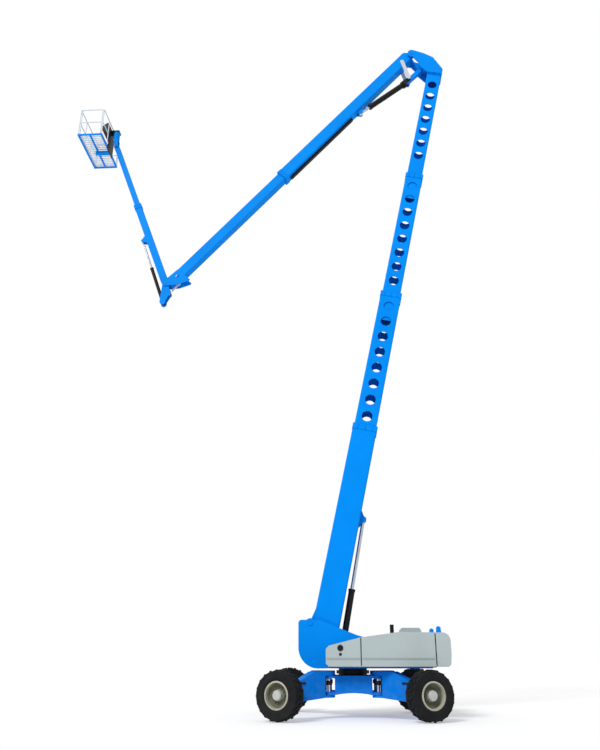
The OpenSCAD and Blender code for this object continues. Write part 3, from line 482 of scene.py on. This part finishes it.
# %% Tyres
TYRE_R = 0.5775
TYRE_W = 0.445
TYRE_SIDES = 72
TREAD_H = 0.03
CARCASS_R = TYRE_R - TREAD_H
BULGE = 0.015
SHOULDER_IN = 0.035
WALL_IN = 0.13
BEAD_R = 0.32
BEAD_DEPTH = 0.045
SHOULDER_ROUND = 0.03
SHOULDER_STEPS = 3
SMOOTH_ANGLE = 40.0
LUG_TOP = 0.572
LUG = (0.04, 0.058, 0.16)
LUG_ROUND = 0.006
LUG_ROWS = 20
LUG_SLANT = 28.0
LUG_OUT = 0.085
LUG_STAGGER = 0.25


def carcass(name):
    piece = drum(name, CARCASS_R, TYRE_W - 2 * BULGE, sides=TYRE_SIDES)
    select_faces(piece, lambda normal: abs(normal.z) > FACING)
    bpy.ops.mesh.inset(thickness=SHOULDER_IN, depth=0.0)
    bpy.ops.mesh.inset(thickness=WALL_IN, depth=BULGE)
    bpy.ops.mesh.inset(thickness=CARCASS_R - SHOULDER_IN - WALL_IN - BEAD_R, depth=-BEAD_DEPTH)
    bpy.ops.mesh.bridge_edge_loops()
    bpy.ops.mesh.select_all(action="SELECT")
    bpy.ops.mesh.normals_make_consistent(inside=False)
    select_edges(piece, lambda a, b: abs(a.z - b.z) < LEVEL and
                 min(math.hypot(a.x, a.y), math.hypot(b.x, b.y)) > CARCASS_R - LEVEL)
    bpy.ops.mesh.bevel(offset=SHOULDER_ROUND, segments=SHOULDER_STEPS, affect="EDGES")
    bpy.ops.object.mode_set(mode="OBJECT")
    bpy.ops.object.shade_smooth_by_angle(angle=math.radians(SMOOTH_ANGLE))
    return piece


def treaded_tyre(name):
    body = carcass(name)
    lug = block("lug", (LUG_TOP - LUG[0] / 2, 0.0, 0.0), LUG, LUG_ROUND)
    places = []
    for side in (-1, 1):
        slant = Matrix.Rotation(math.radians(LUG_SLANT * side), 4, "X")
        out = Matrix.Translation((0.0, 0.0, side * LUG_OUT))
        for i in range(LUG_ROWS):
            turn = 2 * math.pi * (i + side * LUG_STAGGER) / LUG_ROWS
            places.append(Matrix.Rotation(turn, 4, "Z") @ out @ slant)
    return join([body, copies(lug, places, "lugs")])


hubs = {}
pattern = treaded_tyre("tyre_pattern")
for corner in corners:
    roll = joints["spin_" + corner]
    hubs[corner] = facing(roll["pos_m"], roll["axis"])
    tyre = copies(pattern, [hubs[corner]], "treaded_tyre_" + corner, keep=True)
    fit(tyre, "wheel_" + corner, "tyre_rubber")
    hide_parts("tyre_" + corner)
bpy.data.objects.remove(pattern)
print("tyres:", len(hubs))

# %% [markdown]
# ## Wheel nuts
# Each rim is held by a ring of nuts round the drive hub. One nut is modelled and copied
# round the bolt circle of every wheel.

# %% Wheel nuts
NUTS = 12
NUT_R = 0.019
NUT_H = 0.028
NUT_CIRCLE = 0.17
NUT_SEAT = 0.05
nut = bolt_head("nut", NUT_R, NUT_H)
seat = Matrix.Translation((NUT_CIRCLE, 0.0, NUT_SEAT))
ring = [Matrix.Rotation(2 * math.pi * i / NUTS, 4, "Z") @ seat for i in range(NUTS)]
for corner in corners:
    nuts = copies(nut, [hubs[corner] @ place for place in ring], "wheel_nuts_" + corner, keep=True)
    fit(nuts, "wheel_" + corner, "rim_paint", "wheel_" + corner)
bpy.data.objects.remove(nut)
print("nuts on each wheel:", NUTS)

# %% [markdown]
# ## Leg pins and guards
# Between the chassis lugs each leg's pin shows bright, with a black clamp collar round it, and
# a short black guard sits on each leg's outer side near the wheel. The pins are cylinders with
# bevelled rims. The guard is one block, turned to lie along its leg.

# %% Leg pins and guards
PIN_ROUND = 0.004
PIN_PIECES = (  # name, radius, lowest and highest point, slot
    ("pin_sleeve_", 0.058, 0.61, 0.92, "rod_chrome"),
    ("pin_collar_", 0.082, 0.77, 0.87, "black_steel"),
)
GUARD = (0.26, 0.024, 0.05)
GUARD_ROUND = 0.006
GUARD_AT = 0.92
GUARD_OUT = 0.138
GUARD_Z = 0.826
guard = block("guard", ORIGIN, GUARD, GUARD_ROUND)
for corner in corners:
    leg = "leg_" + corner
    pin = joints[leg + "_swing"]["pos_m"]
    for name, radius, low, high, slot in PIN_PIECES:
        piece = drum(name + corner, radius, high - low, (pin[0], pin[1], (low + high) / 2))
        select_edges(piece, lambda a, b: abs(a.z - b.z) < LEVEL)
        bpy.ops.mesh.bevel(offset=PIN_ROUND, segments=ROUND_STEPS, affect="EDGES")
        bpy.ops.object.mode_set(mode="OBJECT")
        fit(piece, leg, slot)
    wheel_end = joints["steer_" + corner]["pos_m"]
    run = Vector((wheel_end[0] - pin[0], wheel_end[1] - pin[1], 0.0))
    outward = Vector((-run.y, run.x, 0.0)).normalized()
    if outward.y * run.y < 0.0:
        outward = -outward
    spot = Vector((pin[0], pin[1], GUARD_Z)) + run.normalized() * GUARD_AT + outward * GUARD_OUT
    place = Matrix.Translation(spot) @ Matrix.Rotation(math.atan2(run.y, run.x), 4, "Z")
    fit(copies(guard, [place], "leg_guard_" + corner, keep=True), leg, "black_steel")
bpy.data.objects.remove(guard)
print("legs dressed:", len(corners))

# %% [markdown]
# ## Covers
# The grey mouldings have a raised belt line near their foot and a rubber seal at each joint of
# their side walls, thin blocks set a few millimetres proud. The belt line is coloured darker than
# the covers, as painted shade, so that it looks like a groove. A seal sits on the panel that stays,
# clear of the hood that lifts. The near front cover also has two round dark caps with a dish.

# %% Belt lines, seals and caps
SIDE_Y = 1.25
BELT_Z = 1.385
BELT_T = 0.012
BELT_H = 0.05
BELT_TRIM = 0.04
BELT_ROUND = 0.005
SEAL_W = 0.02
SEAL_T = 0.01
SEAL_GAP = 0.002
SEAL_TRIM = 0.04
SEAL_ROUND = 0.003
CAP_X = -0.315
CAP_DEPTH = 0.02
CAP_RIM = 0.3
CAP_DISH = 0.006
CAPS = (("cap_upper", 1.636, 0.075), ("cap_lower", 1.489, 0.035))  # name, height, radius
slew_x = joints["slew"]["pos_m"][0]
seal_in = SEAL_GAP + SEAL_W / 2
for side, sign in (("near", -1), ("far", 1)):
    wall = sign * SIDE_Y
    cover, hood = "cover_" + side, "hood_" + side
    for node, body in ((cover, "turntable"), (hood, hood)):
        low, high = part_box(node)
        belt = block("belt_" + node, ((low.x + high.x) / 2, wall, BELT_Z),
                     (high.x - low.x - BELT_TRIM, BELT_T, BELT_H), BELT_ROUND)
        # the belt gets the darker painted-shade grey, not the covers' own grey
        fit(belt, body, "cover_grey", "belt_painted_shade")
    weight_low, weight_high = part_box("counterweight")
    cover_low, cover_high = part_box(cover)
    for name, x, foot, top in (
        ("seal_front_", cover_high.x - seal_in, cover_low.z, cover_high.z),
        ("seal_back_", weight_low.x + seal_in, weight_low.z, weight_high.z),
    ):
        seal = block(name + side, (x, wall, (foot + top) / 2),
                     (SEAL_W, SEAL_T, top - foot - SEAL_TRIM), SEAL_ROUND)
        fit(seal, "turntable", "cover_grey", "seal_rubber")
for name, z, radius in CAPS:
    cap = drum(name, radius, CAP_DEPTH, (slew_x + CAP_X, -SIDE_Y, z),
               (math.radians(90.0), 0.0, 0.0))
    select_faces(cap, lambda normal: normal.y < -FACING)
    bpy.ops.mesh.inset(thickness=radius * CAP_RIM, depth=-CAP_DISH)
    bpy.ops.object.mode_set(mode="OBJECT")
    fit(cap, "turntable", "console_plastic")
print("covers dressed on both sides")

# %% [markdown]
# ## Wear-pad bolts
# Every telescoping section slides on pads that are bolted into the collar at the tip of the
# section outside it. The bolt heads show as small rows on both sides of each collar, so one
# head is modelled for each collar and copied along the boom's own line.

# %% Wear-pad bolts
LOWER, UPPER, JIB = 77.5, 228.5, 111.0
LOWER_MID = -0.42
UPPER_MID = -0.12
HEAD_SHARE = 0.07
HEAD_LEAST = 0.008
HEAD_H = 0.014
HEAD_GAP = 0.04
COLLARS = (  # body, joint at the pivot, degrees, along, above, half width, spread of the rows
    ("lower_base", "lower_lift", LOWER, 5.66, LOWER_MID, 0.324, 0.22),
    ("lower_second", "lower_lift", LOWER, 10.165, LOWER_MID, 0.294, 0.2),
    ("lower_third", "lower_lift", LOWER, 14.825, LOWER_MID, 0.259, 0.17),
    ("upper_outer", "upper_fold", UPPER, 6.965, UPPER_MID, 0.194, 0.12),
    ("jib_outer", "jib_swing", JIB, 3.305, 0.0, 0.099, 0.07),
)


def along(pivot, degrees, u, v, y):
    """A point at u along and v above a boom's line from its pivot."""
    c, s = math.cos(math.radians(degrees)), math.sin(math.radians(degrees))
    return (pivot[0] + u * c - v * s, y, pivot[2] + u * s + v * c)


for body, joint, degrees, u, v, half, spread in COLLARS:
    head = bolt_head("head", HEAD_SHARE * spread + HEAD_LEAST, HEAD_H)
    pivot = joints[joint]["pos_m"]
    spots = [facing(along(pivot, degrees, u + step, v + row * spread, side * half), (0, side, 0))
             for side in (-1, 1) for row in (-1, 0, 1) for step in (-HEAD_GAP, HEAD_GAP)]
    fit(copies(head, spots, "pad_bolts_" + body), body, "boom_blue")
print("collars bolted:", len(COLLARS))

# %% [markdown]
# ## Cable carrier
# Hoses and cables run to the jib in a chain of links under the upper boom. The links' edges
# are narrow ribs across the carrier's plain box.

# %% Carrier links
LINKS = 43
LINK_PITCH = 0.075
LINK_START = 3.58
LINK_ABOVE = 0.118
RIB = (0.022, 0.132, 0.082)
RIB_ROUND = 0.004
elbow = joints["upper_fold"]["pos_m"]
rib = block("rib", ORIGIN, RIB, RIB_ROUND, UPPER)
ribs = [Matrix.Translation(along(elbow, UPPER, LINK_START + LINK_PITCH * i, LINK_ABOVE, 0.0))
        for i in range(LINKS)]
fit(copies(rib, ribs, "carrier_links"), "upper_outer", "black_steel")
print("carrier links:", LINKS)

# %% [markdown]
# ## Platform
# The platform has toe boards inside its rails, and a control panel with three levers on the
# console's sloping face. The boards are thin blocks along the floor's own edges.

# %% Toe boards and controls
TOE_H = 0.11
TOE_T = 0.006
TOE_ROUND = 0.001
TOE_TRIM = 0.02
SLOPE = 41.2
PANEL = (0.17, 0.52, 0.012)
PANEL_ROUND = 0.004
PANEL_BACK = 0.14
PANEL_DROP = 0.07
LEVER = (0.018, 0.018, 0.08)
LEVER_MID = 0.045
LEVER_ROUND = 0.006
LEVER_GAP = 0.17
floor_low, floor_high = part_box("platform_floor")
mid = (floor_low + floor_high) / 2
span = floor_high - floor_low
toe_z = floor_high.z + TOE_H / 2
for name, x, y, length, width in (
    ("toe_front", floor_low.x + TOE_T / 2, mid.y, TOE_T, span.y),
    ("toe_back", floor_high.x - TOE_T / 2, mid.y, TOE_T, span.y),
    ("toe_far", mid.x, floor_high.y - TOE_T / 2, span.x - TOE_TRIM, TOE_T),
):
    board = block(name, (x, y, toe_z), (length, width, TOE_H), TOE_ROUND)
    fit(board, "platform", "rail_paint")

console_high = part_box("console")[1]
panel_at = Vector((console_high.x - PANEL_BACK, 0.0, console_high.z - PANEL_DROP))
panel = block("control_panel", panel_at, PANEL, PANEL_ROUND, SLOPE)
fit(panel, "platform", "console_plastic")
panel_up = (-math.sin(math.radians(SLOPE)), 0.0, math.cos(math.radians(SLOPE)))
lever = block("lever", (0.0, 0.0, LEVER_MID), LEVER, LEVER_ROUND)
lever_spots = [facing(panel_at + Vector((0.0, y, 0.0)), panel_up)
               for y in (-LEVER_GAP, 0.0, LEVER_GAP)]
fit(copies(lever, lever_spots, "control_levers"), "platform", "rod_chrome")
print("platform dressed, levers:", len(lever_spots))

# %% [markdown]
# ## Camera, floor and light
# The photograph was taken from low down near the wheels, so the camera looks up along the
# boom. A wide pale floor keeps the shadow, and one soft sun with an even sky lights the part.
# Floor and sky look white to the camera and in mirrors, and light the part less than that.

# %% Camera
LENS = 33.85
SENSOR = 36.0
FAR_CLIP = 500.0
CAMERA_AT = (slew_x - 0.28188, -20.16537, 1.40019)
CAMERA_TILT = 111.877
CAMERA_PAN = 3.15


def add_to_scene(name, data):
    made = bpy.data.objects.new(name, data)
    bpy.context.scene.collection.objects.link(made)
    return made


camera_data = bpy.data.cameras.new("camera")
camera_data.lens = LENS
camera_data.sensor_width = SENSOR
camera_data.clip_end = FAR_CLIP
camera = add_to_scene("camera", camera_data)
camera.location = CAMERA_AT
camera.rotation_euler = (math.radians(CAMERA_TILT), 0.0, math.radians(CAMERA_PAN))
bpy.context.scene.camera = camera
print("camera at", CAMERA_AT)

# %% Floor and light
FLOOR_SIZE = 600.0
FLOOR_Z = -0.001
FLOOR_WHITE = (0.95, 0.95, 0.95, 1.0)
FLOOR_ROUGH = 0.9
FLOOR_GLOW = 0.31
SUN_POWER = 2.2
SUN_SOFT = 18.0
SUN_TURN = (48.0, -12.0, -18.0)
SKY_LIGHT = 0.62
clear_selection()
bpy.ops.mesh.primitive_plane_add(size=FLOOR_SIZE, location=(0.0, 0.0, FLOOR_Z))
ground = bpy.context.object
ground.name = "studio_floor"
pale = Finish("studio_floor_pale")
pale.set("Base Color", FLOOR_WHITE)
pale.set("Roughness", FLOOR_ROUGH)
matt = Value(pale, pale.shader.outputs[0])
glow = pale.node("ShaderNodeEmission", {}, {"Color": WHITE, "Strength": 1.0})
both = pale.node("ShaderNodeMixShader", {}, {0: pale.shown() * FLOOR_GLOW, 1: matt, 2: glow})
output = next(n for n in pale.tree.nodes if n.type == "OUTPUT_MATERIAL")
pale.put(output.inputs["Surface"], both)
ground.data.materials.append(pale.material)

sun_data = bpy.data.lights.new("sun", "SUN")
sun_data.energy = SUN_POWER
sun_data.angle = math.radians(SUN_SOFT)
sun = add_to_scene("sun", sun_data)
sun.rotation_euler = [math.radians(angle) for angle in SUN_TURN]

world = bpy.data.worlds.new("sky")
world.use_nodes = True
bpy.context.scene.world = world
sky = Nodes(world.node_tree)
back = world.node_tree.nodes["Background"]
sky.put(back.inputs["Color"], WHITE)
sky.put(back.inputs["Strength"], sky.rise(sky.shown(), 0.0, 1.0, SKY_LIGHT, 1.0))
bpy.context.scene.view_settings.view_transform = "Standard"
print("floor and light set")

# %% [markdown]
# ## Final update
# The dressing must not make the machine bigger than its solids. The last cell only brings the
# places of all objects up to date.

# %% Final update
bpy.context.view_layer.update()
